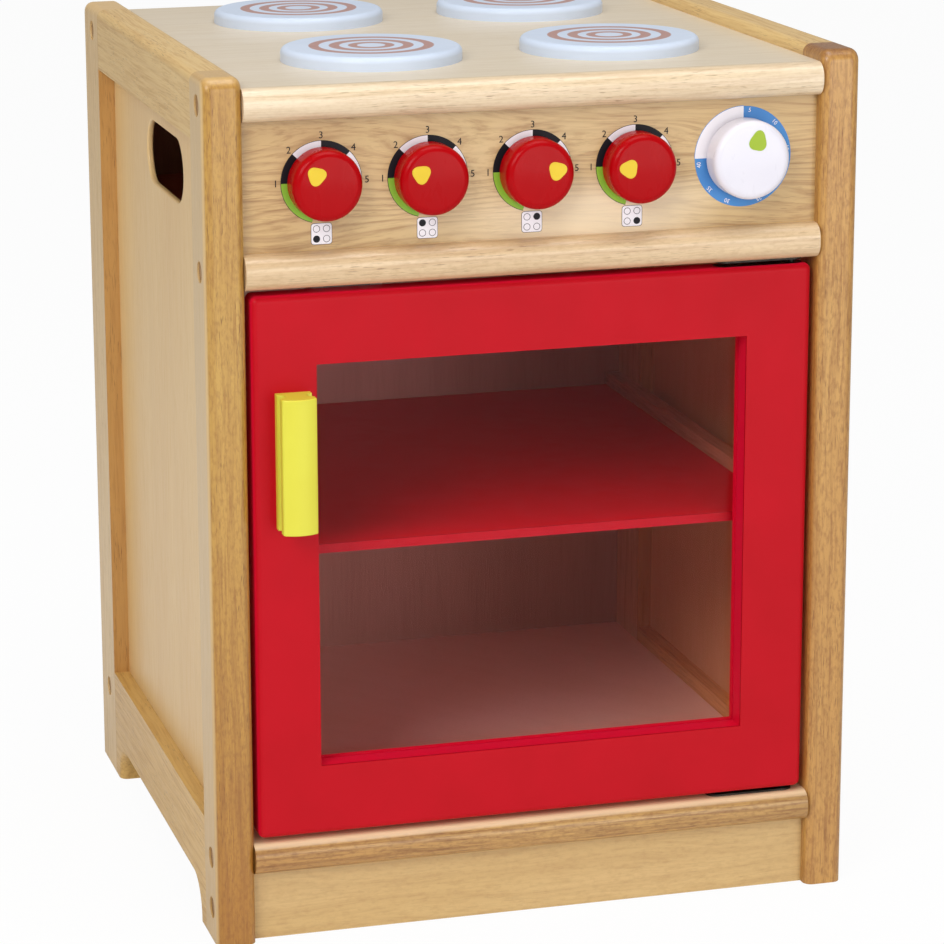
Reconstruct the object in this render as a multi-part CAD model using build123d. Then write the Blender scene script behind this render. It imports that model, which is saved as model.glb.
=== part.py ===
from build123d import *
import os

# A child's wooden play oven: two frame-and-panel sides joined by cross members, a hob top, a panel of
# five turning knobs and a red door on pivot hinges. Millimetres, +Z up, the front faces -Y.
# The origin is on the floor, at the middle of the whole object's plan box.

# Driving dimensions
width = 400
side_depth = 376
side_height = 525
side_thick = 24
edge_round = 5.5
front_post = 33
rear_post = 51
top_rail_height = 39
bottom_rail_height = 72
arch_height = 21.5
front_foot = 50
rear_foot = 66
panel_thick = 4
panel_inset = 10.4
panel_lip_round = 1.4
groove_depth = 6
tenon_length = 14
tenon_thick = 8
tenon_margin = 10

hand_hole_y = 162
hand_hole_level = 451.5
hand_hole_long = 110
hand_hole_high = 39

top_level = 518
top_board_thick = 18
nosing_height = 20
nosing_depth = 10
rail_proud = 2
control_front = 9.3
control_thick = 12
middle_rail_bottom = 400
middle_rail_top = 421
ceiling_front = 34
ceiling_thick = 6
sill_bottom = 43
sill_top = 62
sill_depth = 30
floor_thick = 12
plinth_setback = 8.8
plinth_thick = 18
back_thick = 4
back_seat = 6

door_gap = 3.3
door_bottom = 65
door_top = 396.5
door_front = 3
door_thick = 20
door_round = 4
window_left = -134
window_right = 132
window_bottom = 108
window_top = 354.5
window_reveal = 13.5
pane_thick = 2.5
rebate = 6
handle_left = -159.3
handle_width = 21
handle_bottom = 257.5
handle_height = 81.5
handle_proud = 21
handle_foot = 5
handle_flange = 5
handle_bow = 3
pivot_x = 163
pivot_pin_radius = 2
pivot_pin_length = 12
plate_long = 56
plate_wide = 13
plate_thick = 1.2
catch_x = -110
catch_long = 44
catch_deep = 15.4
catch_high = 11
catch_gap = 1.6
strike_long = 32
strike_high = 9.5
strike_thick = 0.8
running_gap = 0.05

shelf_top = 239
shelf_thick = 5.5
shelf_corner = 40
shelf_front = 26
batten_front = 26.5
batten_thick = 10
batten_top = 248
batten_height = 24
batten_groove = 5

burner_radius = 54.7
burner_thick = 8.5
burner_spread = 150
burner_front = 97
burner_rear = 283
dial_places = (-128.3, -64.6, -0.9, 62.3)
dial_level = 461
timer_place = 129.8
timer_level = 462.7
red_knob_radius = 20.8
timer_knob_radius = 23.6
knob_thick = 17
knob_lift = 1.5
knob_round = 4.5
knob_screw_radius = 2
washer_radius = 7
washer_thick = 1.2

plug_radius = 6.5
plug_length = 4
plug_sink = 1.2
screw_radius = 2.2
screw_length = 46
front_plug_y = 15
rear_plug_y = 346
front_plug_levels = (20.5, 52.5, 411, 508)
rear_plug_levels = (56, 509)
back_screw_levels = (70, 210, 350, 480)
small_screw_radius = 1.4

# Worked out from the driving dimensions
front_reach = handle_proud - door_front
front_y = (front_reach - side_depth) / 2
back_y = front_y + side_depth
inner = width / 2 - side_thick
door_back = door_front + door_thick
pivot_y = front_y + door_front + door_thick / 2
control_y = front_y + control_front
knob_back_y = control_y - knob_lift


def block(x0, x1, y0, y1, z0, z1):
    """A box between two corners; y is counted back from the front of the posts."""
    box = Box(x1 - x0, y1 - y0, z1 - z0, align=(Align.MIN, Align.MIN, Align.MIN))
    return Pos(x0, front_y + y0, z0) * box


def rod(radius, length, at, towards):
    """A round bar that starts at a point and runs along a direction."""
    bar = Cylinder(radius, length, align=(Align.CENTER, Align.CENTER, Align.MIN))
    return Plane(origin=at, z_dir=towards) * bar


def edges_along(part, axis, test):
    """The edges parallel to an axis whose middle passes a test."""
    return [edge for edge in part.edges().filter_by(axis) if test(edge @ 0.5)]


def save(node, *solids):
    """Writes one node; several solids of one kind share it."""
    parts = [solid for thing in solids for solid in thing.solids()]
    shape = parts[0] if len(parts) == 1 else Compound(children=parts)
    export_step(shape, f"parts/{node}.step")


# Countersunk and pan screws ------------------------------------------------------------------
def countersunk(radius, length, at, towards):
    """A countersunk screw: its flat head's face lies at the point, its shank runs the given way."""
    head = radius * 0.9
    shank_end = length - radius
    outline = Polyline((0, 0), (radius * 2, 0), (radius, head), (radius, shank_end), (0, length), close=True)
    return screw_plane(at, towards) * revolve_profile(outline)


def pan_screw(radius, length, at, towards):
    """A pan-head screw whose head sits on the surface at the point, its shank in the given way."""
    head_radius = radius * 2.2
    head = radius * 1.3
    outline = Polyline((0, -head), (head_radius * 0.6, -head), (head_radius, -head * 0.35), (head_radius, 0),
                       (radius, 0), (radius, length - radius), (0, length), close=True)
    return screw_plane(at, towards) * revolve_profile(outline)


def screw_plane(at, towards):
    """The plane a screw is turned on: its head at the point, its length along the direction."""
    return Plane(origin=at, x_dir=Vector(towards).cross(Vector(1, 1, 1)), z_dir=towards)


def revolve_profile(outline):
    """Turns a closed outline of radius and height about the height axis."""
    face = Plane.XZ * make_face(outline)
    return revolve(face, axis=Axis.Z)


# The side frames -----------------------------------------------------------------------------
def arch_outline():
    """The shallow cut-out between the feet, with rounded upper corners."""
    long = side_depth - front_foot - rear_foot
    cut = Rectangle(long, 2 * arch_height, align=(Align.MIN, Align.CENTER))
    return Pos(front_y + front_foot, 0) * fillet(cut.vertices(), arch_height - 2)


def side_blank():
    """One whole left side frame before it is divided: feet, arch, panel opening and rounded edges."""
    outline = Pos(front_y, 0) * Rectangle(side_depth, side_height, align=(Align.MIN, Align.MIN))
    top = outline.vertices().sort_by(Axis.Y)[-2:]
    outline = fillet(top, edge_round + 2)
    outline -= arch_outline()
    blank = extrude(Plane.YZ.offset(-width / 2) * outline, side_thick)
    rims = blank.faces().sort_by(Axis.X)[0].edges() + blank.faces().sort_by(Axis.X)[-1].edges()
    rims = [edge for edge in rims if not (abs((edge @ 0.5).Z) < 0.1)]
    blank = fillet(rims, edge_round)
    opening = block(-width / 2 - 1, -inner + 1, front_post, side_depth - rear_post,
                    bottom_rail_height, side_height - top_rail_height)
    return blank - opening


def side_panel():
    """The plywood panel in its groove, with the hand hole near its top."""
    x0 = -width / 2 + panel_inset
    slack = 0.5
    y0 = front_post - groove_depth + slack
    y1 = side_depth - rear_post + groove_depth - slack
    z0 = bottom_rail_height - groove_depth + slack
    z1 = side_height - top_rail_height + groove_depth - slack
    sheet = block(x0, x0 + panel_thick, y0, y1, z0, z1)
    slot = SlotOverall(hand_hole_long, hand_hole_high)
    hole = Plane.YZ.offset(x0 - 1) * Pos(front_y + hand_hole_y, hand_hole_level) * slot
    sheet -= extrude(hole, panel_thick + 2)
    lips = [edge for edge in sheet.edges() if hand_hole_rim(edge @ 0.5)]
    return fillet(lips, panel_lip_round)


def hand_hole_rim(point):
    """True for a point on either rim of the hand hole."""
    near_y = abs(point.Y - front_y - hand_hole_y) < hand_hole_long / 2 + 1
    near_z = abs(point.Z - hand_hole_level) < hand_hole_high / 2 + 1
    depth = point.X + width / 2 - panel_inset
    on_face = min(abs(depth), abs(depth - panel_thick)) < 0.01
    return near_y and near_z and on_face


def panel_groove():
    """The groove that holds the panel all round."""
    x0 = -width / 2 + panel_inset
    y0 = front_post - groove_depth
    y1 = side_depth - rear_post + groove_depth
    z0 = bottom_rail_height - groove_depth
    z1 = side_height - top_rail_height + groove_depth
    return block(x0, x0 + panel_thick, y0, y1, z0, z1)


def tenons(grow):
    """The four tenons of the two rails, or their mortises when grown by a little."""
    middle = -width / 2 + side_thick / 2
    x0 = middle - tenon_thick / 2
    x1 = middle + tenon_thick / 2
    rear = side_depth - rear_post
    lower = (arch_height + tenon_margin, bottom_rail_height - tenon_margin)
    upper = (side_height - top_rail_height + tenon_margin, side_height - tenon_margin)
    bars = []
    for low, high in (lower, upper):
        bars.append(block(x0, x1, front_post - tenon_length - grow, front_post, low, high))
        bars.append(block(x0, x1, rear, rear + tenon_length + grow, low, high))
    return bars


def plug_bores():
    """Stepped bores from the outer face for the screws and their wooden plugs, as seen on the left side."""
    bores = []
    for y, z in plug_places():
        at = (-width / 2 - 1, front_y + y, z)
        bores.append(rod(plug_radius, 1 + screw_start(), at, (1, 0, 0)))
        bores.append(rod(screw_radius, side_thick + 2, at, (1, 0, 0)))
    return bores


def plug_places():
    """Where the plugs lie on a side: depth and level."""
    front = [(front_plug_y, level) for level in front_plug_levels]
    rear = [(rear_plug_y, level) for level in rear_plug_levels]
    return front + rear


def screw_start():
    """Depth below the outer face at which a cross member's screw head seats."""
    return plug_sink + plug_length + screw_radius * 1.3


def side_pieces():
    """The six pieces of the left side, by name, and its plugs and screws."""
    blank = side_blank() - panel_groove()
    rear_start = side_depth - rear_post
    front_zone = block(-width / 2 - 1, -inner + 1, -1, front_post, -1, side_height + 1)
    rear_zone = block(-width / 2 - 1, -inner + 1, rear_start, side_depth + 1, -1, side_height + 1)
    middle = blank - front_zone - rear_zone
    top_rail, bottom_rail = middle.solids().sort_by(Axis.Z)[::-1][:2]
    bars = tenons(0)
    bottom_rail = bottom_rail + bars[0] + bars[1]
    top_rail = top_rail + bars[2] + bars[3]
    bores = plug_bores()
    mortises = tenons(0.5)
    front = blank & front_zone
    rear = blank & rear_zone
    for cut in mortises + bores:
        front -= cut
        rear -= cut
    hob_underside = top_level - top_board_thick
    seat_front = side_depth - back_thick
    rear -= block(-inner - back_seat, -inner + 1, seat_front, side_depth + 1, sill_bottom, hob_underside)
    top_rail -= panel_groove()
    bottom_rail -= panel_groove()
    for bore in bores:
        top_rail -= bore
        bottom_rail -= bore
    pieces = {"front_post": front, "rear_post": rear, "top_rail": top_rail, "bottom_rail": bottom_rail,
              "side_panel": side_panel()}
    return pieces


def side_plugs():
    """The wooden plugs over the cross members' screws on the left side."""
    x = -width / 2 + plug_sink
    return [rod(plug_radius, plug_length, (x, front_y + y, z), (1, 0, 0)) for y, z in plug_places()]


def side_screws():
    """The pan-head screws that pull the cross members against the left side."""
    x = -width / 2 + screw_start()
    return [pan_screw(screw_radius, screw_length, (x, front_y + y, z), (1, 0, 0)) for y, z in plug_places()]


def mirrored(shape):
    """The right-hand twin of a left-hand shape."""
    return mirror(shape, about=Plane.YZ)


# Cross members -------------------------------------------------------------------------------
def bullnose(z0, z1, y0, y1, round_radius):
    """A cross rail between the sides with a fully rounded front edge."""
    rail = block(-inner, inner, y0, y1, z0, z1)
    front = front_y + y0
    return fillet(edges_along(rail, Axis.X, lambda p: p.Y < front + 0.1), round_radius)


def bored(part, cuts):
    """A part with a list of cutting solids taken out of it."""
    for cut in cuts:
        part -= cut
    return part


def control_panel():
    """The board behind the knobs, with a running bore for each knob's screw."""
    underside = top_level - nosing_height
    board = block(-inner, inner, control_front, control_front + control_thick, middle_rail_top, underside)
    bore = knob_screw_radius + running_gap
    cuts = [rod(bore, control_thick + 2, (x, control_y - 1, z), (0, 1, 0)) for x, z in knob_places()]
    return bored(board, cuts)


def knob_places():
    """Where the five knobs turn, left to right."""
    return [(x, dial_level) for x in dial_places] + [(timer_place, timer_level)]


def back_panel():
    """The thin plywood back, let into a rebate in the rear posts."""
    reach = inner + back_seat - 0.4
    hob_underside = top_level - top_board_thick
    return block(-reach, reach, side_depth - back_thick, side_depth, sill_bottom + 0.4, hob_underside)


def back_screws():
    """Small countersunk screws that hold the back to the rear posts."""
    x = inner + back_seat / 2
    screws = []
    for side in (-1, 1):
        for level in back_screw_levels:
            screws.append(countersunk(small_screw_radius, 14, (side * x, back_y, level), (0, -1, 0)))
    return screws


# Hob -----------------------------------------------------------------------------------------
def burner(x, y):
    """One turned disc of the hob with a softly rounded upper edge."""
    disc = Cylinder(burner_radius, burner_thick, align=(Align.CENTER, Align.CENTER, Align.MIN))
    disc = fillet(disc.edges().sort_by(Axis.Z)[-1], burner_thick * 0.45)
    return Pos(x, front_y + y, top_level) * disc


def burner_places():
    """The four discs by name: place across and depth from the front."""
    half = burner_spread / 2
    return {"front_left_burner": (-half, burner_front), "front_right_burner": (half, burner_front),
            "rear_left_burner": (-half, burner_rear), "rear_right_burner": (half, burner_rear)}


def burner_screws():
    """Two screws from below hold each disc to the hob board."""
    z = top_level - top_board_thick
    screws = []
    for x, y in burner_places().values():
        for side in (-1, 1):
            at = (x + side * burner_radius * 0.4, front_y + y, z)
            screws.append(countersunk(1.6, top_board_thick + burner_thick * 0.6, at, (0, 0, 1)))
    return screws


# Oven interior -------------------------------------------------------------------------------
def shelf():
    """The thin painted shelf with rounded front corners, slid into the battens' grooves."""
    reach = inner - batten_thick + batten_groove - 0.3
    sheet = block(-reach, reach, shelf_front, side_depth - back_thick - 1, shelf_top - shelf_thick, shelf_top)
    front = front_y + shelf_front
    return fillet(edges_along(sheet, Axis.Z, lambda p: p.Y < front + 0.1), shelf_corner)


def batten():
    """The left grooved batten that carries the shelf's edge."""
    face = -inner + batten_thick
    rear = side_depth - back_thick - 1
    bar = block(-inner, face, batten_front, rear, batten_top - batten_height, batten_top)
    play = 0.2
    slot = block(face - batten_groove, face + 1, batten_front - 1, side_depth,
                 shelf_top - shelf_thick - play, shelf_top + play)
    return bar - slot


def batten_screws():
    """Screws through a batten into the two posts, for the left batten."""
    level = batten_top - batten_height + 6
    x = -inner + batten_thick
    middle_of_rear = side_depth - rear_post / 2
    places = (batten_front + 3.2, middle_of_rear)
    return [countersunk(small_screw_radius, 15.5, (x, front_y + y, level), (-1, 0, 0)) for y in places]


# Door ----------------------------------------------------------------------------------------
def door_frame():
    """The one-piece door: rounded edges, a crisp window and a rebate behind it for the pane."""
    reach = inner - door_gap
    slab = block(-reach, reach, door_front, door_back, door_bottom, door_top)
    slab = fillet(slab.edges(), door_round)
    slab -= block(window_left, window_right, 0, door_back + 1, window_bottom, window_top)
    slab -= block(window_left - rebate, window_right + rebate, door_front + window_reveal, door_back + 1,
                  window_bottom - rebate, window_top + rebate)
    return slab


def door_window():
    """The clear pane in the door's rebate."""
    slack = 0.3
    y0 = door_front + window_reveal
    return block(window_left - rebate + slack, window_right + rebate - slack, y0, y0 + pane_thick,
                 window_bottom - rebate + slack, window_top + rebate - slack)


def window_beads():
    """Four mitred beads behind the pane, each with its inner edge rounded."""
    y0 = front_y + door_front + window_reveal + pane_thick
    wide = window_right - window_left
    high = window_top - window_bottom
    outer_wide = wide + 2 * rebate
    outer_high = high + 2 * rebate
    middle = ((window_left + window_right) / 2, (window_bottom + window_top) / 2)
    ring = Rectangle(outer_wide, outer_high) - Rectangle(wide, high)
    depth = door_thick - window_reveal - pane_thick
    frame = Pos(middle[0], y0 + depth, middle[1]) * extrude(Plane.XZ * ring, depth)
    beads = []
    for turn in range(4):
        along = outer_wide / 2 if turn % 2 == 0 else outer_high / 2
        across = outer_high / 2 if turn % 2 == 0 else outer_wide / 2
        inset = across - rebate - 1
        wedge = Polyline((-along, across), (along, across), (along - across + inset, inset),
                         (-along + across - inset, inset), close=True)
        cutter = extrude(Plane.XZ * make_face(wedge), door_thick, both=True)
        cutter = Pos(middle[0], y0, middle[1]) * Rot(0, 90 * turn, 0) * cutter
        beads.append((frame & cutter).solids()[0])
    return beads


def door_handle():
    """The painted pull: a foot on the door, a hollowed finger waist and a wider rounded front flange."""
    half = handle_width / 2
    waist = half * 0.6
    shoulder = handle_proud - handle_bow
    flange_back = shoulder - handle_flange
    middle = (handle_foot + flange_back) / 2
    sides = []
    for side in (-1, 1):
        sides.append(Line((side * half, 0), (side * half, handle_foot)))
        hollow = ThreePointArc((side * half, handle_foot), (side * waist, middle), (side * half, flange_back))
        sides.append(hollow)
        sides.append(Line((side * half, flange_back), (side * half, shoulder)))
    front = ThreePointArc((-half, shoulder), (0, handle_proud), (half, shoulder))
    back = Line((-half, 0), (half, 0))
    bar = extrude(make_face([*sides, front, back]), handle_height)
    bar = fillet(edges_along(bar, Axis.Z, lambda p: abs(p.Y - shoulder) < 0.1), 1.8)
    face_rims = [edge for edge in bar.edges() if (edge @ 0.5).Y > handle_proud - 0.1]
    bar = fillet(face_rims, 0.8)
    return Pos(handle_left + half, front_y + door_front, handle_bottom) * mirror(bar, about=Plane.XZ)


def handle_screws():
    """Two screws from behind the door stile hold the pull."""
    x = handle_left + handle_width / 2
    screws = []
    for z in (handle_bottom + handle_height * 0.22, handle_bottom + handle_height * 0.78):
        screws.append(countersunk(2, door_thick + handle_proud * 0.6, (x, front_y + door_back, z), (0, -1, 0)))
    return screws


# Pivot hinges and catch ----------------------------------------------------------------------
def plate(z0):
    """A round-ended hinge plate lying flat, its lower face at a level."""
    end = pivot_x + plate_wide / 2
    shape = SlotOverall(plate_long, plate_wide)
    return Pos(end - plate_long / 2, pivot_y, z0) * extrude(shape, plate_thick)


def plate_screw_places():
    """Where a hinge plate's two screws lie along it."""
    return (pivot_x - 43, pivot_x - 24)


def frame_plate(z0, up):
    """A frame-side plate with its pin; up is +1 for the lower hinge and -1 for the upper."""
    body = plate(z0 if up > 0 else z0 - plate_thick)
    face = z0 + up * plate_thick
    body += rod(pivot_pin_radius * 2, 0.4, (pivot_x, pivot_y, face), (0, 0, up))
    body += rod(pivot_pin_radius, pivot_pin_length, (pivot_x, pivot_y, face), (0, 0, up))
    return bored(body, [hinge_screw(x, face, -up) for x in plate_screw_places()])


def door_plate(z0, up):
    """A door-side plate let into the door's edge, bored to run on the pin."""
    body = plate(z0 if up > 0 else z0 - plate_thick)
    hole = rod(pivot_pin_radius + running_gap, plate_thick + 2, (pivot_x, pivot_y, z0 - up), (0, 0, up))
    return bored(body, [hole] + [hinge_screw(x, z0, up) for x in plate_screw_places()])


def hinge_screw(x, z, up):
    """A small countersunk screw in a hinge plate."""
    return countersunk(1.3, 11, (x, pivot_y, z), (0, 0, up))


def pin_bore(z0, up):
    """The blind bore in the door's edge round the pin, wider than the plate's own hole."""
    return rod(pivot_pin_radius + 0.6, pivot_pin_length + 3, (pivot_x, pivot_y, z0), (0, 0, up))


def magnet_catch():
    """The catch under the oven's ceiling: a moulded block with two steel pole faces standing a little proud."""
    half = catch_long / 2
    y0 = door_back + catch_gap
    z1 = middle_rail_bottom
    case = block(catch_x - half, catch_x + half, y0, y0 + catch_deep, z1 - catch_high, z1)
    return fillet(edges_along(case, Axis.Z, lambda p: True), 2)


def catch_poles():
    """The magnet's two pole strips."""
    half = catch_long * 0.32
    z0 = middle_rail_bottom - catch_high + 2
    strip_thick = 1.5
    y0 = door_back + strike_thick + 0.1
    y1 = door_back + catch_deep / 2
    levels = (z0, z0 + catch_high * 0.36)
    return [block(catch_x - half, catch_x + half, y0, y1, z, z + strip_thick) for z in levels]


def strike():
    """The steel strike on the door's back."""
    half = strike_long / 2
    z1 = door_top - 1
    sheet = block(catch_x - half, catch_x + half, door_back, door_back + strike_thick, z1 - strike_high, z1)
    return fillet(edges_along(sheet, Axis.Y, lambda p: True), 2)


# Knobs ---------------------------------------------------------------------------------------
def knob(radius, x, z):
    """A turned knob: flat back with a shallow relief, straight rim and a rounded, slightly crowned face."""
    crown = 0.8
    front = knob_thick
    relief = radius * 0.45
    base = Polyline((0, 1.2), (relief, 1.2), (relief, 0), (radius - 0.8, 0), (radius, 0.8), (radius, front - crown))
    face = ThreePointArc((radius, front - crown), (radius * 0.5, front - crown * 0.25), (0, front))
    axis_line = Line((0, front), (0, 1.2))
    turned = revolve(make_face(Wire([*base.edges(), face, axis_line])), axis=Axis.Y)
    rim = [edge for edge in turned.edges() if abs((edge @ 0).Y - front + crown) < 0.01 and edge.length > radius]
    turned = fillet(rim, knob_round)
    return Pos(x, knob_back_y, z) * mirror(turned, about=Plane.XZ)


def knob_screw(x, z):
    """The screw that a knob turns on: its head behind the panel, its end in the knob."""
    head_y = control_y + control_thick + 1.6
    length = head_y - knob_back_y + knob_thick * 0.6
    return pan_screw(knob_screw_radius, length, (x, head_y, z), (0, -1, 0))


def knob_washers():
    """A washer in front of and behind the panel on each knob's screw."""
    ring = extrude(Circle(washer_radius) - Circle(knob_screw_radius + running_gap), washer_thick)
    washers = []
    for x, z in knob_places():
        for y in (control_y, control_y + control_thick + washer_thick):
            washers.append(Pos(x, y, z) * Rot(90, 0, 0) * ring)
    return washers


# Build ---------------------------------------------------------------------------------------
def build():
    """Makes every node and writes it."""
    os.makedirs("parts", exist_ok=True)
    screws = side_screws()
    both_screws = screws + [mirrored(s) for s in screws]
    for name, piece in side_pieces().items():
        if name.endswith("post"):
            piece = bored(piece, batten_screws())
        if name == "rear_post":
            piece = bored(piece, back_screws())
        save(f"left_{name}", piece)
        save(f"right_{name}", mirrored(piece))
    save("left_plugs", *side_plugs())
    save("right_plugs", *[mirrored(p) for p in side_plugs()])
    save("left_frame_screws", *screws)
    save("right_frame_screws", *[mirrored(s) for s in screws])

    top_board = block(-inner, inner, nosing_depth - rail_proud, side_depth, top_level - top_board_thick, top_level)
    save("top_board", bored(top_board, both_screws + burner_screws()))
    save("top_nosing", bullnose(top_level - nosing_height, top_level, -rail_proud,
                                nosing_depth - rail_proud, nosing_height * 0.44))
    save("control_panel", control_panel())
    middle = bullnose(middle_rail_bottom, middle_rail_top, -rail_proud, ceiling_front, 9)
    upper_screws = [hinge_screw(x, middle_rail_bottom - plate_thick, 1) for x in plate_screw_places()]
    save("middle_rail", bored(middle, both_screws + upper_screws))
    save("oven_ceiling", block(-inner, inner, ceiling_front, side_depth - back_thick, middle_rail_bottom,
                               middle_rail_bottom + ceiling_thick))
    sill = bullnose(sill_bottom, sill_top, -rail_proud, sill_depth, 8)
    lower_screws = [hinge_screw(x, sill_top + plate_thick, -1) for x in plate_screw_places()]
    save("sill", bored(sill, both_screws + lower_screws))
    plinth = block(-inner, inner, plinth_setback, plinth_setback + plinth_thick, 0, sill_bottom)
    save("plinth", bored(plinth, both_screws))
    floor = block(-inner, inner, sill_depth, side_depth - back_thick, sill_top - floor_thick, sill_top)
    save("bottom_board", bored(floor, both_screws))
    save("back_panel", bored(back_panel(), back_screws()))
    save("back_screws", *back_screws())

    for name, (x, y) in burner_places().items():
        save(name, bored(burner(x, y), burner_screws()))
    save("burner_screws", *burner_screws())

    save("shelf", shelf())
    left_batten = bored(batten(), batten_screws())
    save("left_shelf_batten", left_batten)
    save("right_shelf_batten", mirrored(left_batten))
    save("batten_screws", *batten_screws(), *[mirrored(s) for s in batten_screws()])

    lower_door_plate = door_plate(door_bottom, 1)
    upper_door_plate = door_plate(door_top, -1)
    door_plate_screws = [hinge_screw(x, door_bottom, 1) for x in plate_screw_places()]
    door_plate_screws += [hinge_screw(x, door_top, -1) for x in plate_screw_places()]
    notches = [plate(door_bottom), plate(door_top - plate_thick)]
    pin_bores = [pin_bore(door_bottom, 1), pin_bore(door_top, -1)]
    save("door_frame", bored(door_frame(), notches + pin_bores + door_plate_screws + handle_screws()))
    save("door_window", door_window())
    save("window_beads", *window_beads())
    save("door_handle", bored(door_handle(), handle_screws()))
    save("handle_screws", *handle_screws())
    save("door_pivot_plates", lower_door_plate, upper_door_plate)
    save("door_plate_screws", *door_plate_screws)
    save("lower_pivot_plate", frame_plate(sill_top, 1))
    save("upper_pivot_plate", frame_plate(middle_rail_bottom, -1))
    save("frame_plate_screws", *lower_screws, *upper_screws)
    save("magnet_catch", bored(magnet_catch(), catch_poles()))
    save("catch_poles", *catch_poles())
    save("strike_plate", strike())

    names = [f"knob_{number}" for number in (1, 2, 3, 4)] + ["timer_knob"]
    radii = [red_knob_radius] * 4 + [timer_knob_radius]
    for name, radius, (x, z) in zip(names, radii, knob_places()):
        screw = knob_screw(x, z)
        save(name, knob(radius, x, z) - screw)
        save(f"{name}_screw", screw)
    save("knob_washers", *knob_washers())


build()
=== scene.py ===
import math

import bmesh
import bpy
from mathutils import Matrix, Vector


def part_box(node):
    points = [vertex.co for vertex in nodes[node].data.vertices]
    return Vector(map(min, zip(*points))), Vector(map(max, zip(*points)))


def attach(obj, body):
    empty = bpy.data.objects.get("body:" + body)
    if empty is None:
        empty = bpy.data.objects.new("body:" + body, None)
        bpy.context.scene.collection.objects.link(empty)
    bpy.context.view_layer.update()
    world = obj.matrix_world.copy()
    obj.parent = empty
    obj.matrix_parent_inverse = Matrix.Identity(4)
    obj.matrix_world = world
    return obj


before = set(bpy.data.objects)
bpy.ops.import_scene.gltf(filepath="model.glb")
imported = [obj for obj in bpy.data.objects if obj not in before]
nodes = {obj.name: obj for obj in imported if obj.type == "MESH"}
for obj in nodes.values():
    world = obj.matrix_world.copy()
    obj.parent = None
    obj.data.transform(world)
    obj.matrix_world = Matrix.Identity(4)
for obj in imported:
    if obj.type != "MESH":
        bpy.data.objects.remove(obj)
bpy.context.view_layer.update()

# Left and right side frames --------------------------------------------------------------------
# Each side is a front post, a rear post and two rails of oiled rubberwood, glued up round a thin
# plywood panel that sits in their groove. The grain runs up the posts and along the rails.


def colour(red, green, blue):
    """A colour given as it looks on a screen, 0 to 255, as the shader's own numbers."""
    def channel(value):
        value /= 255
        return value / 12.92 if value <= 0.04045 else ((value + 0.055) / 1.055) ** 2.4
    return (channel(red), channel(green), channel(blue), 1.0)


def add(tree, kind, settings=None, **inputs):
    """A shader node with its settings and its unlinked inputs."""
    made = tree.nodes.new("ShaderNode" + kind)
    for name, value in (settings or {}).items():
        setattr(made, name, value)
    for name, value in inputs.items():
        key = int(name[1:]) if name[0] == "_" and name[1:].isdigit() else name.replace("_", " ")
        made.inputs[key].default_value = value
    return made


def blend_colours(tree, share, first, second, mode="MIX"):
    """Mixes two colours, each a socket or a plain colour, by a share that is a socket or a number."""
    made = add(tree, "Mix", {"data_type": "RGBA", "blend_type": mode})
    for socket, value in ((made.inputs[0], share), (made.inputs[6], first), (made.inputs[7], second)):
        if isinstance(value, bpy.types.NodeSocket):
            tree.links.new(value, socket)
        else:
            socket.default_value = value
    return made.outputs[2]


def remap(tree, value, low, high, new_low=0.0, new_high=1.0):
    """Stretches a value from one range to another and holds it there."""
    made = add(tree, "MapRange", None, From_Min=low, From_Max=high, To_Min=new_low, To_Max=new_high)
    tree.links.new(value, made.inputs["Value"])
    return made.outputs["Result"]


def combine(tree, operation, first, second=None):
    """One sum on two values, each a socket or a number."""
    made = add(tree, "Math", {"operation": operation})
    for socket, value in ((made.inputs[0], first), (made.inputs[1], second)):
        if isinstance(value, bpy.types.NodeSocket):
            tree.links.new(value, socket)
        elif value is not None:
            socket.default_value = value
    return made.outputs[0]


def noise(tree, place, scale, detail=3.0, roughness=0.5, distortion=0.0):
    """A grey noise over a place vector."""
    made = add(tree, "TexNoise", None, Scale=scale, Detail=detail, Roughness=roughness,
               Distortion=distortion)
    tree.links.new(place, made.inputs["Vector"])
    return made.outputs[0]


def axes(tree, place):
    """The X, Y and Z of a place vector."""
    split = add(tree, "SeparateXYZ")
    tree.links.new(place, split.inputs[0])
    return split.outputs


def stretched(tree, place, scale, shift=(0, 0, 0), turn=(0, 0, 0)):
    """A place vector moved, turned and stretched."""
    made = add(tree, "Mapping", None, Location=shift, Rotation=turn, Scale=scale)
    tree.links.new(place, made.inputs["Vector"])
    return made.outputs["Vector"]


def new_group(name, inputs, outputs):
    """An empty shader group with named sockets."""
    group = bpy.data.node_groups.new(name, "ShaderNodeTree")
    for label, kind, value in inputs:
        kind = "NodeSocket" + kind
        socket = group.interface.new_socket(name=label, in_out="INPUT", socket_type=kind)
        if value is not None:
            socket.default_value = value
    for label, kind in outputs:
        group.interface.new_socket(name=label, in_out="OUTPUT", socket_type="NodeSocket" + kind)
    return group, group.nodes.new("NodeGroupInput"), group.nodes.new("NodeGroupOutput")


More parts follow.
